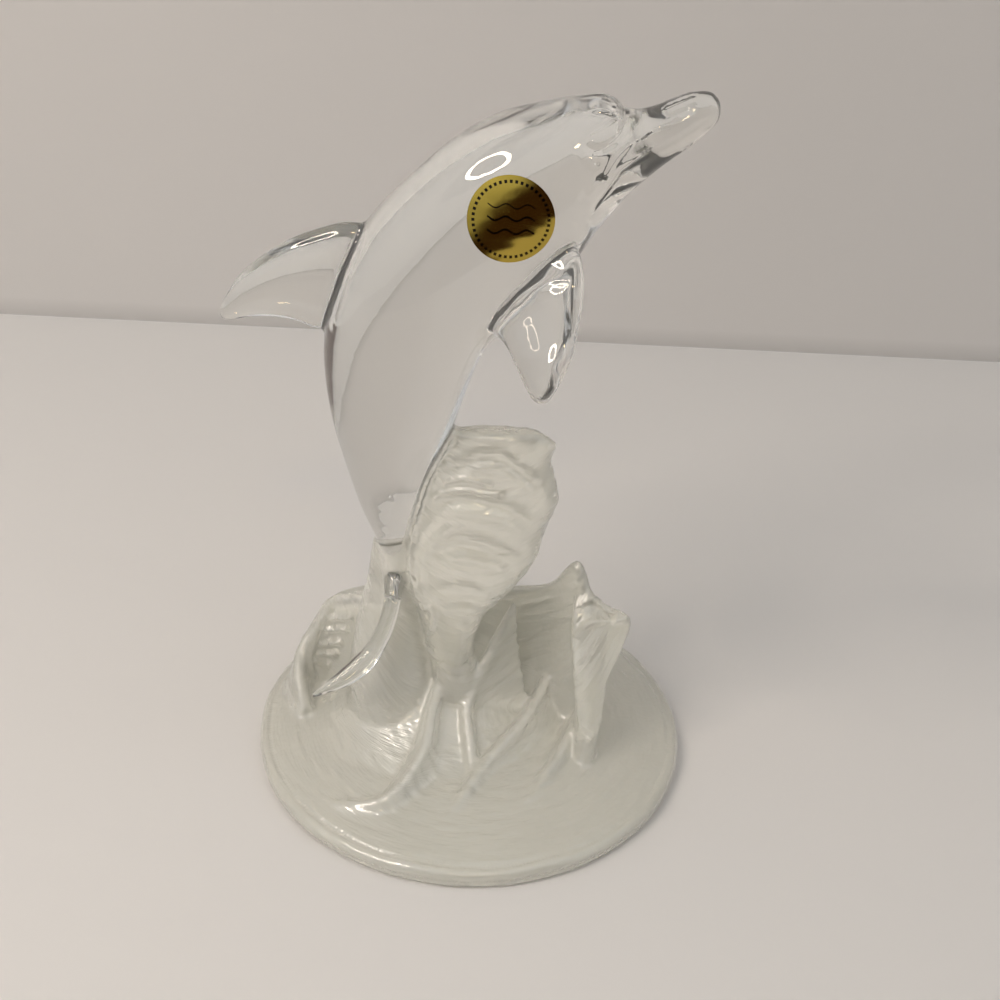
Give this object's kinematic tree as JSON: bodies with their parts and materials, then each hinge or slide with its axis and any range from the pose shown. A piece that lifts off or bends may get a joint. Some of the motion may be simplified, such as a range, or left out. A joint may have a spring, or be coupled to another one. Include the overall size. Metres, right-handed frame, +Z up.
{
  "type": "dolphin figurine",
  "caption": "Leaping dolphin of clear glass, held by frosted glass waves on a round flat base, for standing on a shelf.",
  "frame": {"origin": "centre of the base's flat underside", "axes": "+Z up, +X towards the side the beak points to, -Y towards the flank that carries the label"},
  "size_m": [0.1018, 0.098, 0.1552],
  "materials": {
    "glass": "colourless glass, fire-polished and clear on the dolphin, acid-frosted on the waves and the base",
    "gold_foil": "thin glossy gold foil, stuck on"
  },
  "bodies": {
    "root": {"glass_dolphin": "glass", "foil_label": "gold_foil"}
  },
  "joints": []
}
